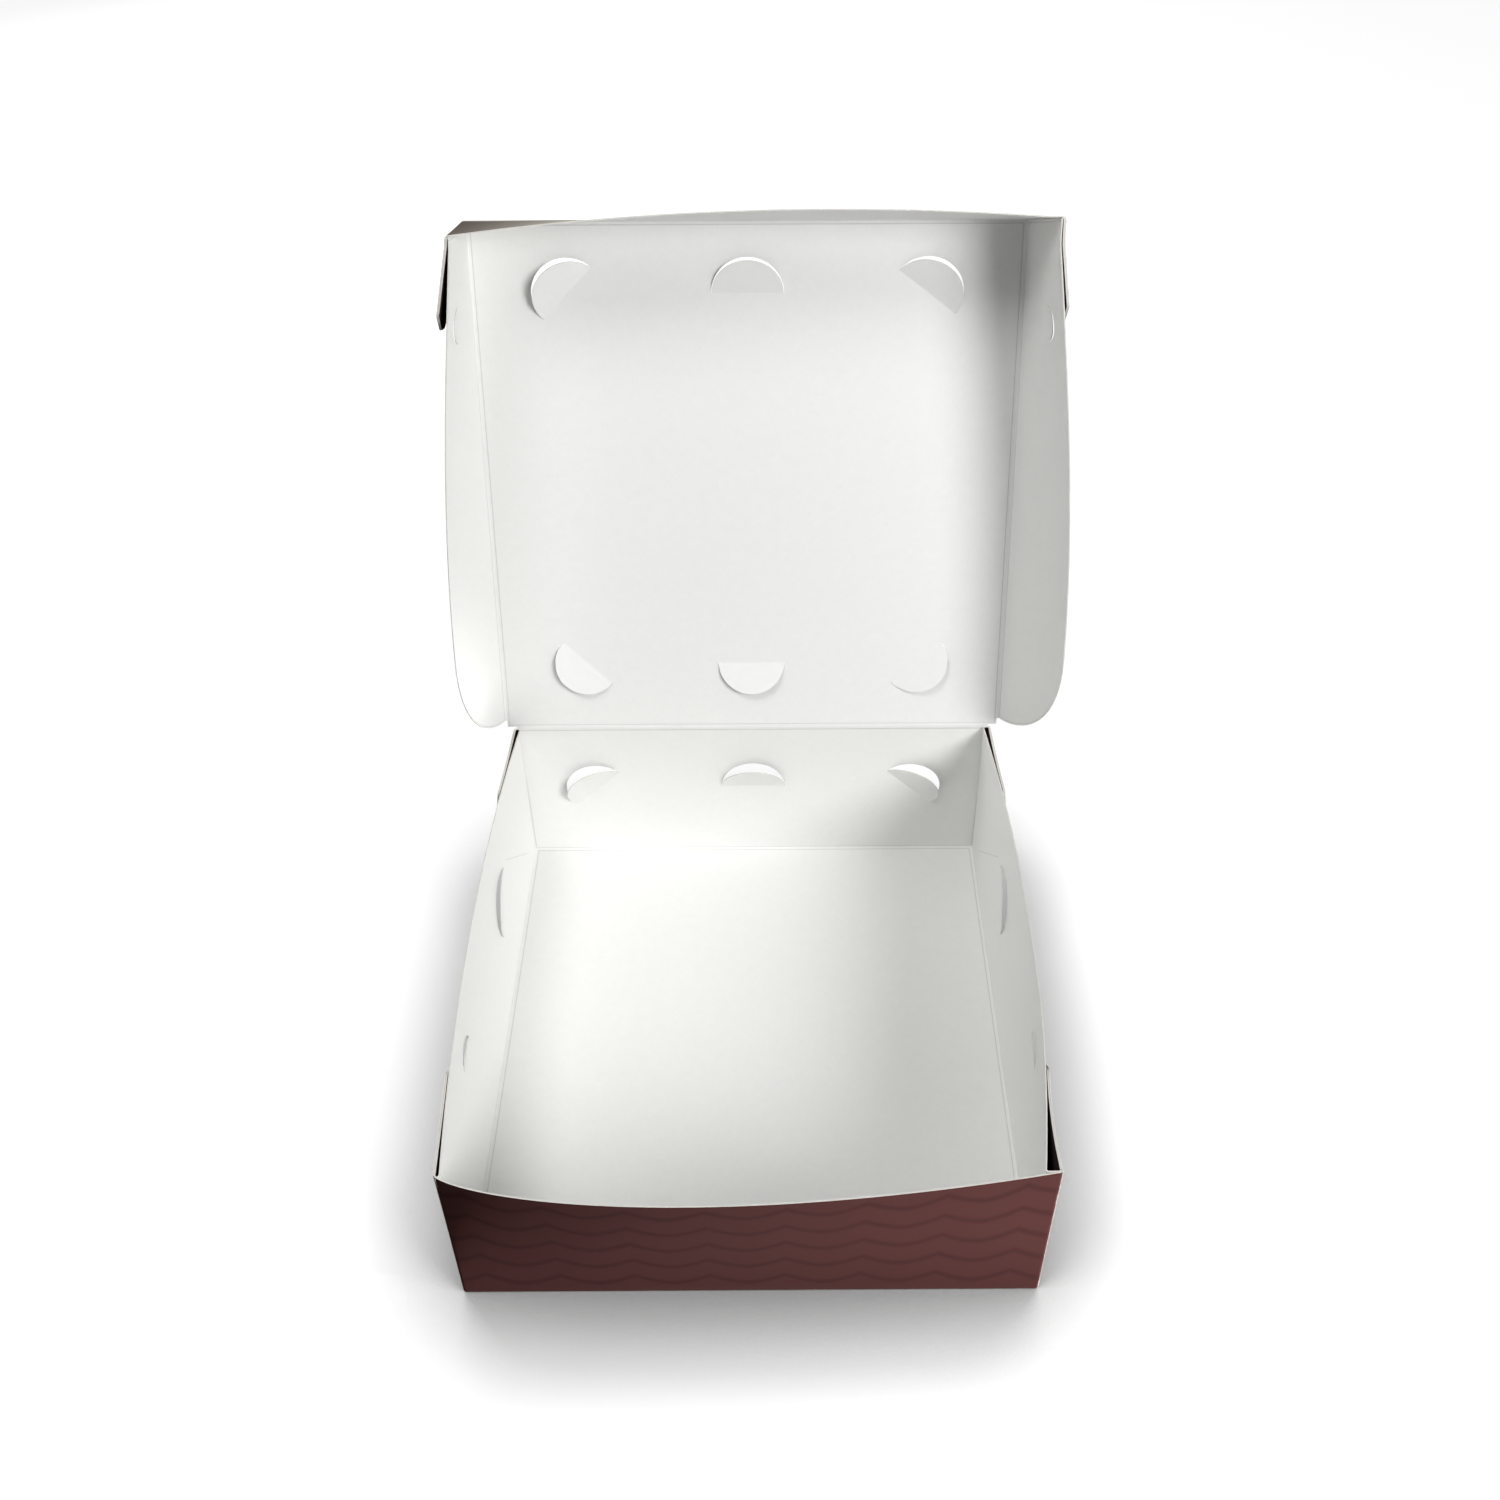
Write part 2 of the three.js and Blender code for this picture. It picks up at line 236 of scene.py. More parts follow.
def sheet(name, columns, rows, point, blank, facing, thickness=board):
    """A panel of bent board. point() puts each column and row in space and blank() on the flat blank. The
    white side looks the way of facing, a quarter of the way along the rows."""
    shape = bmesh.new()
    bmesh.ops.create_grid(shape, x_segments=len(columns) - 1, y_segments=len(rows) - 1, size=0.5)
    flat = {}
    for vert in shape.verts:
        column = columns[round((vert.co.x + 0.5) * (len(columns) - 1))]
        row = rows[round((vert.co.y + 0.5) * (len(rows) - 1))]
        flat[vert] = blank(column, row)
        vert.co = point(column, row)
    shape.normal_update()
    layer = shape.loops.layers.uv.new("blank")
    for face in shape.faces:
        for loop in face.loops:
            loop[layer].uv = flat[loop.vert]
    middle = point(columns[len(columns) // 2], rows[len(rows) // 4])
    nearest = min(shape.faces, key=lambda face: (face.calc_center_median() - middle).length)
    if nearest.normal.dot(facing) < 0:
        bmesh.ops.reverse_faces(shape, faces=shape.faces[:])
    bmesh.ops.remove_doubles(shape, verts=shape.verts[:], dist=1e-6)
    bmesh.ops.dissolve_degenerate(shape, edges=shape.edges[:], dist=1e-6)
    mesh = bpy.data.meshes.new(name)
    shape.to_mesh(mesh)
    shape.free()
    for material in (coated_white, printed_brown, cut_edge):
        mesh.materials.append(material)
    panel = bpy.data.objects.new(name, mesh)
    bpy.context.scene.collection.objects.link(panel)
    shell = panel.modifiers.new("board", "SOLIDIFY")
    shell.thickness = thickness
    shell.offset = 0
    shell.material_offset = print_face
    shell.material_offset_rim = edge_face
    return panel


def keep(panel, body, cutters=()):
    """Applies the panel's modifiers, smooths it up to its cut edges and lets it ride on its body."""
    bpy.context.view_layer.update()
    solid = bpy.data.meshes.new_from_object(panel.evaluated_get(bpy.context.evaluated_depsgraph_get()))
    panel.modifiers.clear()
    panel.data = solid
    solid.name = panel.name
    for cutter in cutters:
        bpy.data.objects.remove(cutter)
    solid.shade_smooth()
    solid.set_sharp_from_angle(angle=smooth_up_to)
    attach(panel, body)
    return panel


floor_across = half_width - board / 2 - crease_radius
floor_along = half_depth - board / 2 - crease_radius
shares = [i / 20 for i in range(21)]
floor = sheet("tray_floor", shares, shares,
              lambda u, v: Vector(((2 * u - 1) * floor_across, (2 * v - 1) * floor_along, board / 2)),
              lambda u, v: ((2 * u - 1) * half_width, (2 * v - 1) * half_depth),
              Vector((0, 0, 1)))
keep(floor, "tray")
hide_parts("tray")


# Front and back walls of the tray
# Each turns up from the floor's crease and on round its two upright creases, into the outside layers of
# the web corners. The front wall has relaxed outwards at its free edge; the lid holds the back one straight.

glue_line = 0.00025
ear_layers_gap = 0.0001
front_bow_skew = 0.75
corner_spread = 0.0008
pinch_length = 0.07
wall_pinch = {-1: (0.0, 0.0004), 1: (0.0034, 0.0009)}
top_edge_curl = 1.2
ear_pocket_length = 0.036
ear_edge = 0.037
ear_tip = 0.003
ear_stack = glue_line + 2 * board
end_wall_half = half_width + ear_stack
ear_start = crease_radius + board
inner_layer = board / 2
outer_layer = inner_layer + board + ear_layers_gap


def rise(z):
    """How much of a wall's bow there is at a height: none at the crease, all of it at the free edge."""
    return max(0.0, z / wall_height) ** top_edge_curl


def end_out(end, x, z):
    """How far out the front (-1) or back (1) wall's printed face stands."""
    if end > 0:
        return half_depth
    u = min(max(0.5 + x / (2 * end_wall_half), 0.0), 1.0) ** front_bow_skew
    return half_depth + (front_lean + front_bow * 4 * u * (1 - u)) * rise(z)


def side_out(side, y, z):
    """How far out the left (-1) or right (1) wall's printed face stands."""
    t = min(max(0.5 + y / (2 * half_depth), 0.0), 1.0)
    front = max(0.0, 1 - t * 2 * half_depth / pinch_length) ** 1.5
    back = max(0.0, 1 - (1 - t) * 2 * half_depth / pinch_length) ** 1.5
    pinch = wall_pinch[side][0] * front + wall_pinch[side][1] * back
    return half_width + (side_bow * 4 * t * (1 - t) - pinch) * rise(z)


def end_half(z):
    """Half the width of the front and back walls."""
    return end_wall_half + corner_spread * rise(z)


def ear_surface(side, end, t, z, w):
    """A tray ear: t along it from its corner, z up, w outwards from the face against the side wall."""
    start = end_out(end, side * end_wall_half, z) - board / 2
    y = end * mix(start, half_depth - wall_height, t / wall_height)
    pocket = end_half(z) - ear_stack - side_out(side, end * half_depth, z)
    opened = pocket * max(0.0, 1 - t / ear_pocket_length) ** 2
    return Vector((side * (side_out(side, y, z) + glue_line + opened + w), y, z))


def lifted(height, lowest, foot, top):
    """A row's height where the panel's lower end runs up an ear's diagonal: from lowest instead of foot."""
    return mix(lowest, top, (height - foot) / (top - foot))


def fold_rows(foot, height, shares_up):
    """Rows of a wall that turns up from a crease: how high each is, and how far its bend draws it in."""
    turns = [math.radians(angle) for angle in (0, 22.5, 45, 67.5, 90)]
    rows = []
    for turn in turns:
        rows.append((foot + crease_radius * (1 - math.cos(turn)), crease_radius * (1 - math.sin(turn))))
    start = rows[-1][0]
    return rows + [(mix(start, height, share), 0.0) for share in shares_up]


# A column of an end wall is its place across, from -1 to 1, its turn round the corner and its way past it
across_shares = [math.sin(math.radians(a)) for a in range(-90, 91, 4)]
quarter = [math.radians(angle) for angle in (22.5, 45, 67.5, 90)]
end_columns = [(-1, quarter[-1], board)]
end_columns += [(-1, turn, 0.0) for turn in reversed(quarter)]
end_columns += [(share, 0.0, 0.0) for share in across_shares]
end_columns += [(1, turn, 0.0) for turn in quarter]
end_columns += [(1, quarter[-1], board)]
tray_rows = fold_rows(board / 2, wall_height, [i / 12 for i in range(1, 13)])


def end_wall(name, end):
    def point(column, row):
        across, turn, onward = column
        z, drawn_in = row
        side = math.copysign(1, across)
        if onward:
            z = lifted(z, ear_start, board / 2, wall_height)
            return ear_surface(side, end, ear_start, z, outer_layer)
        if turn:
            z = lifted(z, mix(board / 2, ear_start, turn / math.pi), board / 2, wall_height)
        half = end_half(z) - board / 2 - crease_radius
        x = across * half + side * crease_radius * math.sin(turn)
        y = end_out(end, x, z) - board / 2 - drawn_in - crease_radius * (1 - math.cos(turn))
        return Vector((x, end * y, z))

    def blank(column, row):
        across, turn, onward = column
        side = math.copysign(1, across)
        x = across * half_width + side * (crease_radius * turn + onward)
        return x, end * (half_depth + row[0])

    return sheet(name, end_columns, tray_rows, point, blank, Vector((0, -end, 0)))


front_wall = keep(end_wall("tray_front_wall", -1), "tray")
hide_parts("tray")


# Steam vents
# Half-moons cut on their arc by the die and pushed in by hand, so that each tab hangs on its straight
# crease. Three are in the back wall.

kerf = 0.00015
vent_radius = 0.0138
vent_spacing = 0.068
back_vent_height = 0.039
tab_embed = 0.0004
tab_thickness = board - 0.00001


def moon_frame(surface, a, b, bulge):
    """The frame of a half-moon on a panel: X along its chord, Y the way it bulges, Z into the box."""
    step = 0.0005
    middle = surface(a, b, board / 2)
    along = (surface(a + step, b, board / 2) - middle).normalized()
    up = (surface(a, b + step, board / 2) - middle).normalized()
    inwards = (surface(a, b, 0.0) - surface(a, b, board)).normalized()
    out = along * math.cos(bulge) + up * math.sin(bulge)
    chord = along * math.sin(bulge) - up * math.cos(bulge)
    place = Matrix((chord, out, inwards)).transposed().to_4x4()
    place.translation = middle
    return place


def cut_moon(panel, place, radius):
    """Cuts a half-moon through a panel, with the colour of the cut edge."""
    shape = bmesh.new()
    bmesh.ops.create_circle(shape, cap_ends=True, segments=96, radius=radius)
    geometry = shape.verts[:] + shape.edges[:] + shape.faces[:]
    bmesh.ops.bisect_plane(shape, geom=geometry, plane_co=(0, 0, 0), plane_no=(0, 1, 0), clear_inner=True)
    reach = 4 * board
    for vert in shape.verts:
        vert.co.z = -reach
    raised = bmesh.ops.extrude_face_region(shape, geom=shape.faces[:])
    for vert in (item for item in raised["geom"] if isinstance(item, bmesh.types.BMVert)):
        vert.co.z = reach
    bmesh.ops.recalc_face_normals(shape, faces=shape.faces[:])
    shape.transform(place)
    if place.determinant() < 0:
        bmesh.ops.reverse_faces(shape, faces=shape.faces[:])
    mesh = bpy.data.meshes.new("moon")
    shape.to_mesh(mesh)
    shape.free()
    for material in panel.data.materials:
        mesh.materials.append(material)
    for face in mesh.polygons:
        face.material_index = edge_face
    cutter = bpy.data.objects.new("moon", mesh)
    bpy.context.scene.collection.objects.link(cutter)
    cut = panel.modifiers.new("moon", "BOOLEAN")
    cut.operation = "DIFFERENCE"
    cut.solver = "EXACT"
    cut.object = cutter
    return cutter


def moon_tab(name, place, radius, push, bulge, middle, slit=kerf):
    """The tab of a half-moon: held on its chord, turned in by its push, smaller than its hole by the slit."""
    reach = radius - slit
    angles = [math.radians(a) for a in range(-90, 91, 6)]
    depths = [-tab_embed, 0.0, 0.05, 0.2, 0.4, 0.6, 0.8, 1.0]

    def flat(angle, depth):
        if depth < 0:
            return reach * math.sin(angle), depth
        return reach * math.sin(angle), depth * reach * math.cos(angle)

    def point(angle, depth):
        x, y = flat(angle, depth)
        if y <= 0:
            return place @ Vector((x, y, 0.0))
        return place @ Vector((x, y * math.cos(push), y * math.sin(push)))

    def blank(angle, depth):
        x, y = flat(angle, depth)
        return (middle[0] + x * math.sin(bulge) + y * math.cos(bulge),
                middle[1] - x * math.cos(bulge) + y * math.sin(bulge))

    return sheet(name, angles, depths, point, blank, place.to_3x3() @ Vector((0, 0, 1)), tab_thickness)


def back_surface(x, z, w):
    return Vector((x, half_depth - board + w, z))


back_wall = end_wall("tray_back_wall", 1)
back_vents = [("left", -vent_spacing, back_vent_height, 135, 24),
              ("middle", 0.0, back_vent_height + 0.001, 90, 20),
              ("right", vent_spacing, back_vent_height, 45, 24)]
cutters = []
for where, across, up, bulge, push in back_vents:
    bulge = math.radians(bulge)
    place = moon_frame(back_surface, across, up, bulge)
    cutters.append(cut_moon(back_wall, place, vent_radius))
    tab = moon_tab("tray_back_vent_" + where, place, vent_radius, math.radians(push), bulge,
                   (across, half_depth + up))
    keep(tab, "tray")
keep(back_wall, "tray", cutters)
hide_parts("tray")


# Side walls of the tray
# Each turns up from the floor's crease. At both ends it doubles back outwards, inside the end wall, into
# the inner layer of the web corner. Each has one vent near the back and a small half-moon near the front.

side_vent_from_back = 0.064
side_vent_height = 0.0395
side_vent_push = math.radians(8)
side_vent_bulge = math.radians(135)
lock_radius = 0.007
lock_slit = 0.0002
side_lock_from_front = 0.058
side_lock_height = 0.054
wall_lock_push = math.radians(9)
bend_on_blank = 0.0003


def side_wall(name, side):
    # A column is (end, stage, value): stage 0 runs along the wall, 1 and 2 are the two bends of the doubled
    # end, and 3 is where the inner layer of the ear takes over
    columns = [(-1, 3, 0.0)]
    columns += [(-1, 2, turn) for turn in reversed(quarter)]
    columns += [(-1, 2, 0.0)]
    columns += [(-1, 1, turn) for turn in reversed(quarter)]
    columns += [(0, 0, 0.5 - 0.5 * math.cos(math.radians(a))) for a in range(0, 181, 5)]
    columns += [(1, 1, turn) for turn in quarter]
    columns += [(1, 2, 0.0)]
    columns += [(1, 2, turn) for turn in quarter]
    columns += [(1, 3, 0.0)]

    def end_turn(end, z):
        """Where a doubled end lies at a height: its Y, the X of both of its layers and its radius."""
        turn_y = end_out(end, side * half_width, z) - 1.5 * board
        wall_x = side_out(side, end * turn_y, z) - board / 2
        ear_x = side * ear_surface(side, end, ear_start, z, inner_layer).x
        return turn_y, wall_x, ear_x, min(crease_radius, (ear_x - wall_x) / 2)

    def point(column, row):
        end, stage, value = column
        z, drawn_in = row
        if stage == 0:
            front_y, _, _, front_radius = end_turn(-1, z)
            back_y, _, _, back_radius = end_turn(1, z)
            y = mix(-(front_y - front_radius), back_y - back_radius, value)
            return Vector((side * (side_out(side, y, z) - board / 2 - drawn_in), y, z))
        z = lifted(z, mix(board / 2, ear_start, stage / 3), board / 2, wall_height)
        turn_y, wall_x, ear_x, radius = end_turn(end, z)
        if stage == 1:
            x = wall_x + radius * (1 - math.cos(value)) - drawn_in * math.cos(value)
            return Vector((side * x, end * (turn_y - radius * (1 - math.sin(value))), z))
        if stage == 2:
            x = ear_x - radius * (1 - math.sin(value))
            return Vector((side * x, end * (turn_y - radius * (1 - math.cos(value))), z))
        return ear_surface(side, end, ear_start, z, inner_layer)

    def blank(column, row):
        end, stage, value = column
        if stage:
            y = end * (half_depth + bend_on_blank * (stage + value))
        else:
            y = (2 * value - 1) * half_depth
        return side * (half_width + row[0]), y

    return sheet(name, columns, tray_rows, point, blank, Vector((-side, 0, 0)))


for side, where in ((-1, "left"), (1, "right")):
    def side_surface(y, z, w):
        return Vector((side * (side_out(side, y, z) - board + w), y, z))

    wall = side_wall(f"tray_{where}_wall", side)
    vent_y = half_depth - side_vent_from_back
    lock_y = side_lock_from_front - half_depth
    vent_place = moon_frame(side_surface, vent_y, side_vent_height, side_vent_bulge)
    lock_place = moon_frame(side_surface, lock_y, side_lock_height, math.radians(90))
    cutters = [cut_moon(wall, vent_place, vent_radius), cut_moon(wall, lock_place, lock_radius)]
    vent_tab = moon_tab(f"tray_{where}_vent", vent_place, vent_radius, side_vent_push, side_vent_bulge,
                        (side * (half_width + side_vent_height), vent_y))
    lock_tab = moon_tab(f"tray_{where}_lock", lock_place, lock_radius, wall_lock_push, math.radians(90),
                        (side * (half_width + side_lock_height), lock_y), lock_slit)
    keep(vent_tab, "tray")
    keep(lock_tab, "tray")
    keep(wall, "tray", cutters)
    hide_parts("tray")


# Web corners of the tray
# Each square of board between two walls is folded on its diagonal and laid back along the outside of the
# side wall, held there by a spot of glue. At the corner its two layers stand off the wall and leave a pocket.

diagonal_radius = (outer_layer - inner_layer) / 2


def ear_rows(count):
    """Rows from the free edge of the outer layer, round the diagonal fold, to that of the inner one."""
    rows = [("outer", 1 - i / count) for i in range(count + 1)]
    rows += [("fold", math.radians(angle)) for angle in (30, 60, 90, 120, 150)]
    return rows + [("inner", i / count) for i in range(count + 1)]


def ear_columns(height, edge):
    """Columns of an ear: along its free edge, then along the end that slopes down to its blunt tip."""
    tip = (height + edge - ear_tip) / 2
    along_edge = [mix(ear_start, edge, i / 16) for i in range(17)]
    return along_edge + [mix(edge, tip, i / 10) for i in range(1, 11)]


def ear_place(t, row, height, edge):
    """The place of a row of an ear: along it, up it and outwards from its inner face."""
    layer, value = row
    if layer == "fold":
        reach = diagonal_radius * math.sin(value) / math.sqrt(2)
        w = mix(inner_layer, outer_layer, 0.5) + diagonal_radius * math.cos(value)
        return t + reach, t - reach, w
    up = mix(t, min(height, height + edge - t), value)
    return t, up, outer_layer if layer == "outer" else inner_layer


for side, side_name in ((-1, "left"), (1, "right")):
    for end, end_name in ((-1, "front"), (1, "back")):
        def ear_point(t, row):
            return ear_surface(side, end, *ear_place(t, row, wall_height, ear_edge))

        def ear_blank(t, row):
            along, up, w = ear_place(t, row, wall_height, ear_edge)
            if w < mix(inner_layer, outer_layer, 0.5):
                along, up = up, along
            return side * (half_width + along), end * (half_depth + up)

        ear = sheet(f"tray_{side_name}_{end_name}_ear", ear_columns(wall_height, ear_edge), ear_rows(10),
                    ear_point, ear_blank, Vector((-side, 0, 0)))
        keep(ear, "tray")
        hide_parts("tray")


# Glue spots of the web corners
# One pad of hot-melt adhesive in each corner, pressed flat between the side wall and the inner layer of
# the ear, where it is out of sight.

glue_from_corner = 0.036
glue_length = 0.009
glue_low = 0.050
glue_high = 0.058
hot_melt, tree = new_material("hot melt adhesive")
glue_place = add(tree, "ShaderNodeTexCoord").outputs["Object"]
glue_normal = bump(tree, noise(tree, glue_place, 600.0, 2.0), 0.3, 0.0001)
glue_shader = add(tree, "ShaderNodeBsdfPrincipled", {"Base Color": linear("#d9cfae"), "Roughness": 0.35,
                                                     "IOR": 1.48, "Normal": glue_normal})
add(tree, "ShaderNodeOutputMaterial", {"Surface": glue_shader.outputs["BSDF"]})

for side, side_name in ((-1, "left"), (1, "right")):
    for end, end_name in ((-1, "front"), (1, "back")):
        def glue_point(along, up):
            y = end * (half_depth - glue_from_corner - along * glue_length)
            z = mix(glue_low, glue_high, up)
            return Vector((side * (side_out(side, y, z) + glue_line / 2), y, z))

        steps = [0.0, 0.25, 0.5, 0.75, 1.0]
        pad = sheet(f"tray_{side_name}_{end_name}_glue", steps, steps, glue_point,
                    lambda along, up: (along, up), Vector((side, 0, 0)), glue_line)
        for number in range(len(pad.data.materials)):
            pad.data.materials[number] = hot_melt
        keep(pad, "tray")


# Panel of the lid
# The lid is the far end of the same blank. Its panel leans back from the crease on top of the back wall,
# with six vents pushed in. The lid is drawn closed, with its crease at the origin, and is then swung open.

lid_depth = 0.042
lid_open = math.radians(frame["joints"][0]["range_deg"][1])
lid_place = Matrix.Translation(hinge) @ Matrix.Rotation(-lid_open, 4, "X")
lid_front_row = 0.028
lid_hinge_row = 0.031
crease_strip = 0.0006


def lid_panel_surface(x, length, w):
    return lid_place @ Vector((x, -length, w - board / 2))


lid_across = lid_half - board / 2 - crease_radius
lid_far = lid_length - board / 2 - crease_radius


def lid_panel_point(u, v):
    return lid_panel_surface((2 * u - 1) * lid_across, mix(crease_strip, lid_far, v), board / 2)


lid_panel = sheet("lid_panel", shares, shares, lid_panel_point,
                  lambda u, v: ((2 * u - 1) * lid_half, half_depth + wall_height + v * lid_length),
                  lid_place.to_3x3() @ Vector((0, 0, -1)))
lid_vents = [("front_left", -vent_spacing, lid_length - lid_front_row, 137, 24),
             ("front_middle", 0.0, lid_length - lid_front_row, 90, 14),
             ("front_right", vent_spacing, lid_length - lid_front_row, 52, 18),
             ("hinge_left", -vent_spacing, lid_hinge_row, 225, 14),
             ("hinge_middle", 0.0, lid_hinge_row, 270, 16),
             ("hinge_right", vent_spacing, lid_hinge_row, 315, 12)]
cutters = []
for where, across, length, bulge, push in lid_vents:
    bulge = math.radians(bulge)
    place = moon_frame(lid_panel_surface, across, length, bulge)
    cutters.append(cut_moon(lid_panel, place, vent_radius))
    tab = moon_tab("lid_vent_" + where, place, vent_radius, math.radians(push), bulge,
                   (across, half_depth + wall_height + length))
    keep(tab, "lid")
keep(lid_panel, "lid", cutters)
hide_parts("lid")


# Front wall of the lid
# It turns down from the far crease of the panel and on round its two corners, into the outside layers of
# the lid's web corners. Its free edge bows outwards.

lid_front_bow = 0.0055
lid_front_lean = {-1: 0.0035, 1: 0.0095}
flap_flare = {-1: (-0.002, 0.0095), 1: (0.0047, 0.017)}
flare_length = 0.16
lid_ear_edge = 0.026
lid_ear_spring = {-1: 0.0024, 1: 0.0005}


def lid_front_out(x, depth):
    """How far from the hinge the printed face of the lid's front wall stands."""
    u = min(max(0.5 + x / (2 * lid_half), 0.0), 1.0)
    lean = mix(lid_front_lean[-1], lid_front_lean[1], u) + lid_front_bow * 4 * u * (1 - u)
    return lid_length + lean * max(0.0, depth / lid_depth)


def flap_out(side, length, depth):
    """How far out the printed face of a side flap stands."""
    t = min(max((lid_length - length) / flare_length, 0.0), 1.0)
    flare = mix(flap_flare[side][0], flap_flare[side][1], math.sin(t * math.pi / 2))
    return lid_half + flare * max(0.0, depth / lid_depth)


def lid_ear_surface(side, t, depth, w):
    """A lid ear: t along it from its corner, depth down from the panel, w outwards from its inner face."""
    start = lid_front_out(side * lid_half, depth) - board / 2
    along = mix(start, lid_length - lid_depth, t / lid_depth)
    sprung = lid_ear_spring[side] * t / lid_ear_edge * max(0.0, depth / lid_depth)
    out = flap_out(side, along, depth) + glue_line + sprung + w
    return lid_place @ Vector((side * out, -along, -depth))


lid_rows = fold_rows(0.0, lid_depth, [i / 8 for i in range(1, 9)])


def lid_front_point(column, row):
    across, turn, onward = column
    depth, drawn_in = row
    side = math.copysign(1, across)
    if onward:
        depth = lifted(depth, ear_start, 0.0, lid_depth)
        return lid_ear_surface(side, ear_start, depth, outer_layer)
    if turn:
        depth = lifted(depth, mix(0.0, ear_start, turn / math.pi), 0.0, lid_depth)
    halves = [flap_out(s, lid_length, depth) + ear_stack - board / 2 - crease_radius for s in (-1, 1)]
    x = mix(-halves[0], halves[1], 0.5 + across / 2) + side * crease_radius * math.sin(turn)
    length = lid_front_out(x, depth) - board / 2 - drawn_in - crease_radius * (1 - math.cos(turn))
    return lid_place @ Vector((x, -length, -depth))


def lid_front_blank(column, row):
    across, turn, onward = column
    side = math.copysign(1, across)
    x = across * lid_half + side * (crease_radius * turn + onward)
    return x, half_depth + wall_height + lid_length + row[0]


lid_front = sheet("lid_front_wall", end_columns, lid_rows, lid_front_point, lid_front_blank,
                  lid_place.to_3x3() @ Vector((0, 1, 0)))
keep(lid_front, "lid")
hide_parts("lid")


# Side flaps of the lid
# Each turns down from the panel's side crease, flares outwards towards the hinge and ends there in a large
# round. At its front it doubles back into the inner layer of the web corner, beside a small half-moon.

flap_round = 0.05
flap_setback = 0.003
flap_lock_from_front = 0.033
flap_lock_depth = 0.025
flap_lock_push = {-1: math.radians(5), 1: math.radians(6)}
flap_rows = fold_rows(0.0, lid_depth, [math.sin(math.radians(a)) for a in range(6, 91, 6)])


def flap(name, side):
    columns = [(0, i / 40) for i in range(41)]
    columns += [(1, turn) for turn in quarter]
    columns += [(2, 0.0)]
    columns += [(2, turn) for turn in quarter]
    columns += [(3, 0.0)]

    def front_turn(depth):
        """Where the doubled front end lies at a depth: its length, the X of both layers and its radius."""
        turn_length = lid_front_out(side * lid_half, depth) - 1.5 * board
        flap_x = flap_out(side, turn_length, depth) - board / 2
        ear_x = flap_out(side, turn_length, depth) + glue_line + inner_layer
        return turn_length, flap_x, ear_x, min(crease_radius, (ear_x - flap_x) / 2)

    def point(column, row):
        stage, value = column
        depth, drawn_in = row
        if stage == 0:
            turn_length, _, _, radius = front_turn(depth)
            rounded = max(0.0, flap_round ** 2 - (depth - lid_depth + flap_round) ** 2)
            start = flap_setback + flap_round - math.sqrt(rounded)
            length = mix(start, turn_length - radius, value)
            x = flap_out(side, length, depth) - board / 2 - drawn_in
            return lid_place @ Vector((side * x, -length, -depth))
        depth = lifted(depth, mix(0.0, ear_start, stage / 3), 0.0, lid_depth)
        turn_length, flap_x, ear_x, radius = front_turn(depth)
        if stage == 1:
            x = flap_x + radius * (1 - math.cos(value)) - drawn_in * math.cos(value)
            length = turn_length - radius * (1 - math.sin(value))
        elif stage == 2:
            x = ear_x - radius * (1 - math.sin(value))
            length = turn_length - radius * (1 - math.cos(value))
        else:
            return lid_ear_surface(side, ear_start, depth, inner_layer)
        return lid_place @ Vector((side * x, -length, -depth))

    def blank(column, row):
        stage, value = column
        length = lid_length + bend_on_blank * (stage + value) if stage else value * lid_length
        return side * (lid_half + row[0]), half_depth + wall_height + length

    return sheet(name, columns, flap_rows, point, blank, lid_place.to_3x3() @ Vector((-side, 0, 0)))


for side, where in ((-1, "left"), (1, "right")):
    def flap_surface(length, depth, w):
        return lid_place @ Vector((side * (flap_out(side, length, depth) - board + w), -length, -depth))

    panel = flap(f"lid_{where}_flap", side)
    lock_length = lid_length - flap_lock_from_front
    lock_place = moon_frame(flap_surface, lock_length, flap_lock_depth, math.radians(90))
    cutters = [cut_moon(panel, lock_place, lock_radius)]
    lock_middle = (side * (lid_half + flap_lock_depth), half_depth + wall_height + lock_length)
    lock_tab = moon_tab(f"lid_{where}_lock", lock_place, lock_radius, flap_lock_push[side], math.radians(90),
                        lock_middle, lock_slit)
    keep(lock_tab, "lid")
    keep(panel, "lid", cutters)
    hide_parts("lid")


# Web corners of the lid
# The squares between the lid's front wall and flaps, folded on the diagonal and glued along the outside of
# the flaps in two layers.

for side, where in ((-1, "left"), (1, "right")):
    def lid_ear_point(t, row):
        return lid_ear_surface(side, *ear_place(t, row, lid_depth, lid_ear_edge))

    def lid_ear_blank(t, row):
        along, down, w = ear_place(t, row, lid_depth, lid_ear_edge)
        if w < mix(inner_layer, outer_layer, 0.5):
            along, down = down, along
        return side * (lid_half + along), half_depth + wall_height + lid_length + down

    ear = sheet(f"lid_{where}_ear", ear_columns(lid_depth, lid_ear_edge), ear_rows(8), lid_ear_point,
                lid_ear_blank, lid_place.to_3x3() @ Vector((-side, 0, 0)))
    keep(ear, "lid")
    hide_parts("lid")


# Crease between the back wall and the lid
# The pressed line on which the lid swings. It is the same board, running on from one panel into the other.

crease_rows = [(-1, 1.0), (-1, 0.6), (-1, 0.3), (0, 0.0), (1, 0.3), (1, 0.6), (1, 1.0)]
wall_top_gap = hinge.z - wall_height


def crease_point(u, row):
    panel, share = row
    x = (2 * u - 1) * (end_wall_half - board)
    if panel < 0:
        return Vector((x, hinge.y, hinge.z - share * wall_top_gap))
    return lid_panel_surface(x, share * crease_strip, board / 2)


def crease_blank(u, row):
    panel, share = row
    return (2 * u - 1) * half_width, half_depth + wall_height + panel * share * crease_strip


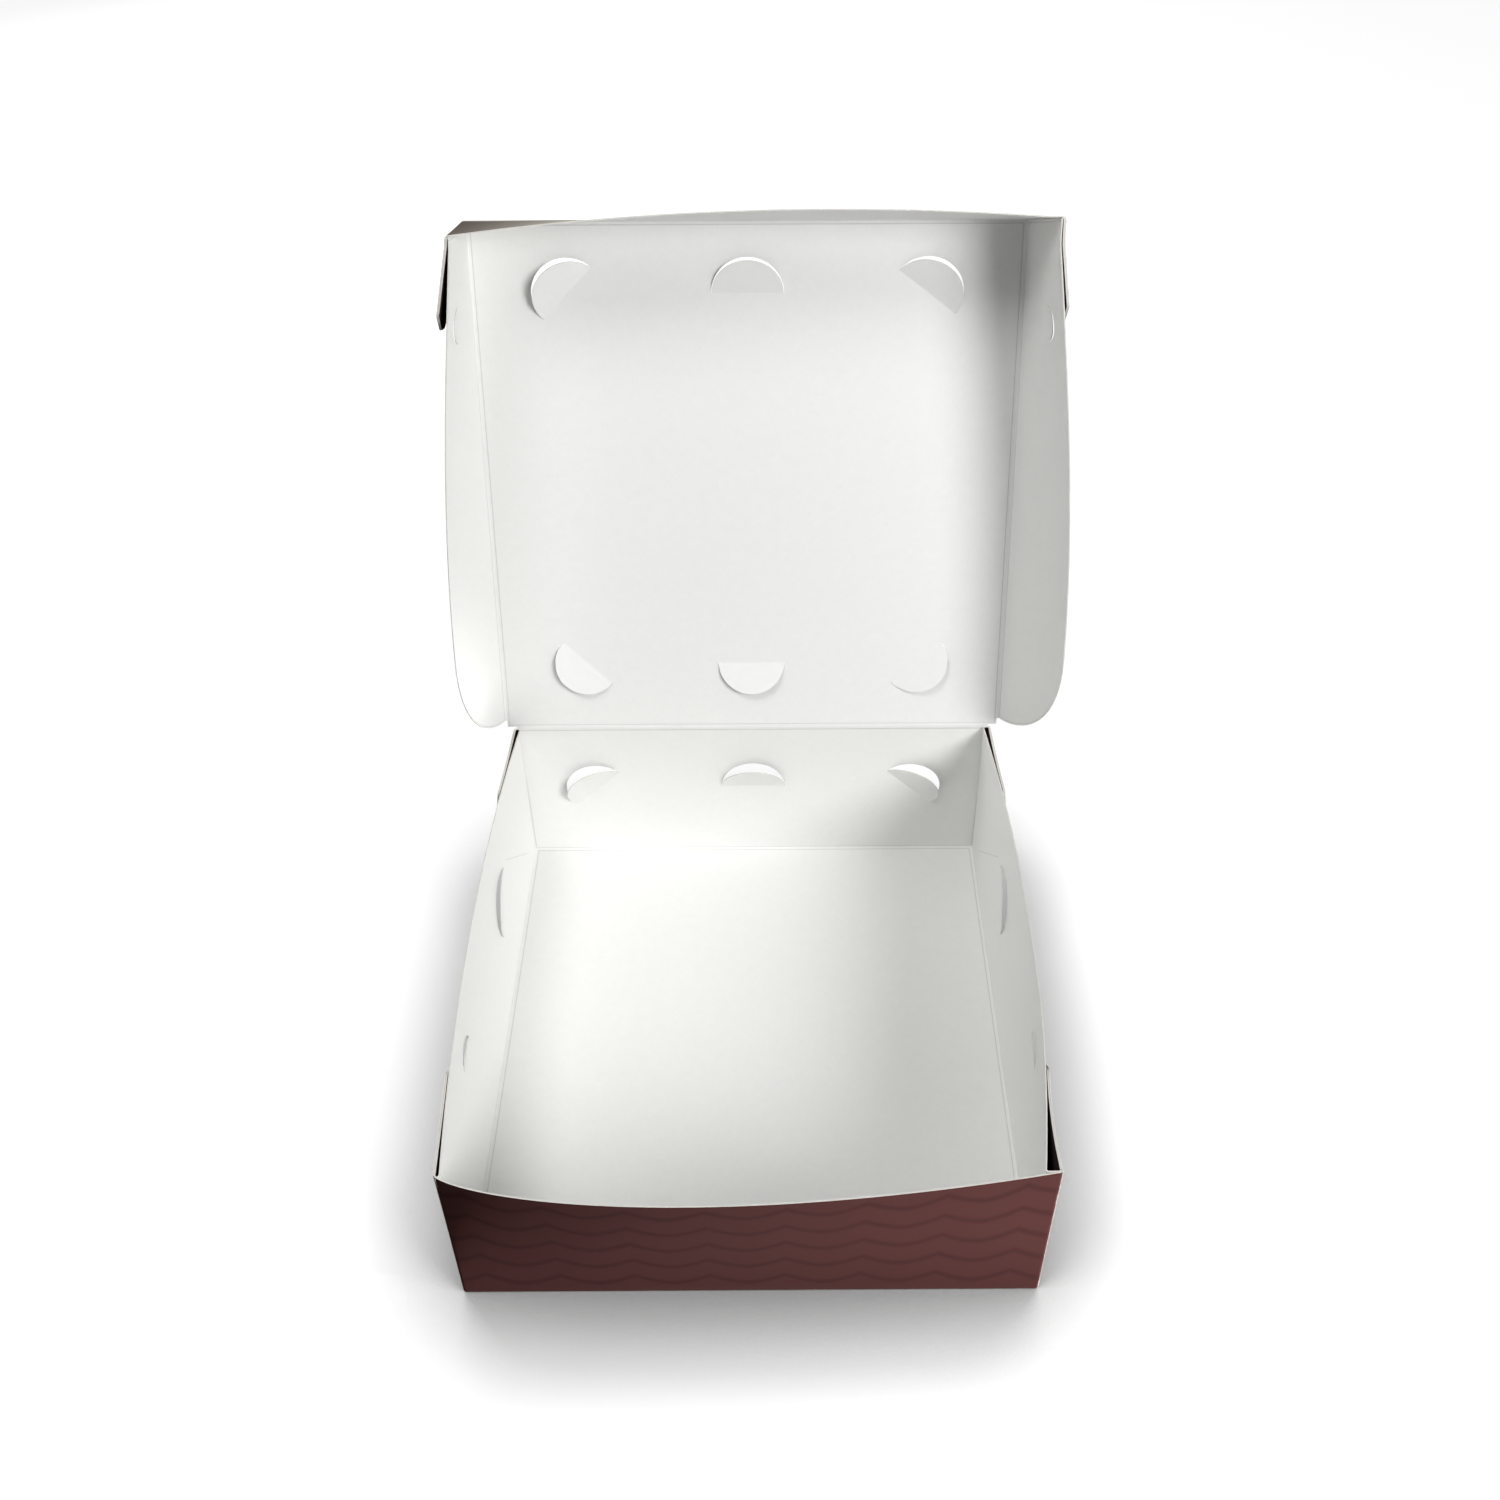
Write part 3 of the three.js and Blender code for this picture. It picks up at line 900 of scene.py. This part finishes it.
lid_crease = sheet("lid_crease", shares, crease_rows, crease_point, crease_blank, Vector((0, -1, 0)))
bpy.context.view_layer.update()
crease_mesh = bpy.data.meshes.new_from_object(lid_crease.evaluated_get(bpy.context.evaluated_depsgraph_get()))
lid_crease.modifiers.clear()
lid_crease.data = crease_mesh
crease_mesh.shade_smooth()
crease_mesh.set_sharp_from_angle(angle=smooth_up_to)
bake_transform(lid_crease)


# Table and light
# A white table that keeps the box's shadow, under a white sky. Near the box its colour and its glow are
# darkened by an ambient occlusion factor, a painted contact shadow. The key light is a large soft box on the
# right, a second one hangs overhead, a small one skims the front wall and one lights the back.

table_size = 6.0
painted_shadow_reach = 0.05
painted_shadow_falloff = 3.0
table_glow = 0.9
sky_strength = 0.03


def seen_directly(tree):
    """1 for the rays that look at a surface, in a mirror too, and 0 for the rays that light other pieces."""
    rays = add(tree, "ShaderNodeLightPath").outputs
    seen = work_out(tree, "MAXIMUM", rays["Is Camera Ray"], rays["Is Glossy Ray"])
    return work_out(tree, "MAXIMUM", seen, rays["Is Transmission Ray"])


shape = bmesh.new()
bmesh.ops.create_grid(shape, x_segments=1, y_segments=1, size=table_size / 2)
mesh = bpy.data.meshes.new("table")
shape.to_mesh(mesh)
shape.free()
table = bpy.data.objects.new("table", mesh)
bpy.context.scene.collection.objects.link(table)
white_table, tree = new_material("white table")
# Painted contact shadow: ambient occlusion darkens the table's colour and its glow near the box.
painted_shadow_occlusion = add(tree, "ShaderNodeAmbientOcclusion", {"Distance": painted_shadow_reach}, samples=2)
painted_shadow_openness = work_out(tree, "POWER", painted_shadow_occlusion.outputs["AO"], painted_shadow_falloff)
table_shader = add(tree, "ShaderNodeBsdfDiffuse", {"Color": tint(tree, painted_shadow_openness, "#484848", "#8c8c8c")})
glow = work_out(tree, "MULTIPLY", work_out(tree, "MULTIPLY", seen_directly(tree), painted_shadow_openness), table_glow)
glow_shader = add(tree, "ShaderNodeEmission", {"Color": linear("#ffffff"), "Strength": glow})
table_sum = add(tree, "ShaderNodeAddShader", {0: table_shader.outputs["BSDF"],
                                              1: glow_shader.outputs["Emission"]})
add(tree, "ShaderNodeOutputMaterial", {"Surface": table_sum.outputs["Shader"]})
mesh.materials.append(white_table)

sky = bpy.data.worlds.new("studio")
sky.use_nodes = True
tree = sky.node_tree
tree.nodes.clear()
sky_light = add(tree, "ShaderNodeBackground", {"Color": linear("#ffffff"), "Strength": sky_strength})
sky_white = add(tree, "ShaderNodeBackground", {"Color": linear("#ffffff"), "Strength": 1.0})
sky_mix = add(tree, "ShaderNodeMixShader", {"Fac": seen_directly(tree), 1: sky_light.outputs["Background"],
                                            2: sky_white.outputs["Background"]})
add(tree, "ShaderNodeOutputWorld", {"Surface": sky_mix.outputs["Shader"]})
bpy.context.scene.world = sky


def lamp(name, place, target, size, power, spread=180.0):
    light = bpy.data.lights.new(name, "AREA")
    light.shape = "DISK"
    light.size = size
    light.energy = power
    light.spread = math.radians(spread)
    box_light = bpy.data.objects.new(name, light)
    box_light.location = place
    box_light.rotation_euler = (Vector(target) - Vector(place)).to_track_quat("-Z", "Y").to_euler()
    bpy.context.scene.collection.objects.link(box_light)


lamp("window", (0.68, -0.68, 0.68), (0.0, 0.08, 0.2), 0.5, 10.5)
lamp("overhead", (-0.42, -0.36, 1.35), (0.0, 0.0, 0.05), 0.45, 6.8)
lamp("low_side", (0.48, -0.24, 0.028), (0.1, -0.16, 0.03), 0.05, 0.64, 40.0)
lamp("behind", (-0.45, 1.2, 0.55), (0.0, 0.1, 0.15), 0.6, 9.0)


# Camera
# Where the photograph was taken from: in front of the box, over half a metre up, looking down at it. The
# lens is given in pixels of the photograph, as is the point of it that the camera points at.

camera_place = Vector((0.0082, -0.3821, 0.5413))
camera_yaw = math.radians(0.165)
camera_pitch = math.radians(36.6)
camera_roll = math.radians(-0.2)
picture = 1500
focal_pixels = 1567
principal = (774.1, 525.5)

ahead = Vector((math.sin(camera_yaw) * math.cos(camera_pitch),
                math.cos(camera_yaw) * math.cos(camera_pitch), -math.sin(camera_pitch)))
level = Vector((math.cos(camera_yaw), -math.sin(camera_yaw), 0.0))
upright = level.cross(ahead)
right = level * math.cos(camera_roll) + upright * math.sin(camera_roll)
above = right.cross(ahead)
lens = bpy.data.cameras.new("camera")
lens.sensor_width = 36.0
lens.lens = focal_pixels / picture * lens.sensor_width
lens.shift_x = 0.5 - principal[0] / picture
lens.shift_y = principal[1] / picture - 0.5
lens.clip_start = 0.01
camera = bpy.data.objects.new("camera", lens)
turn = Matrix((right, above, -ahead)).transposed().to_4x4()
camera.matrix_world = Matrix.Translation(camera_place) @ turn
bpy.context.scene.collection.objects.link(camera)
bpy.context.scene.camera = camera
bpy.context.scene.view_settings.view_transform = "Standard"
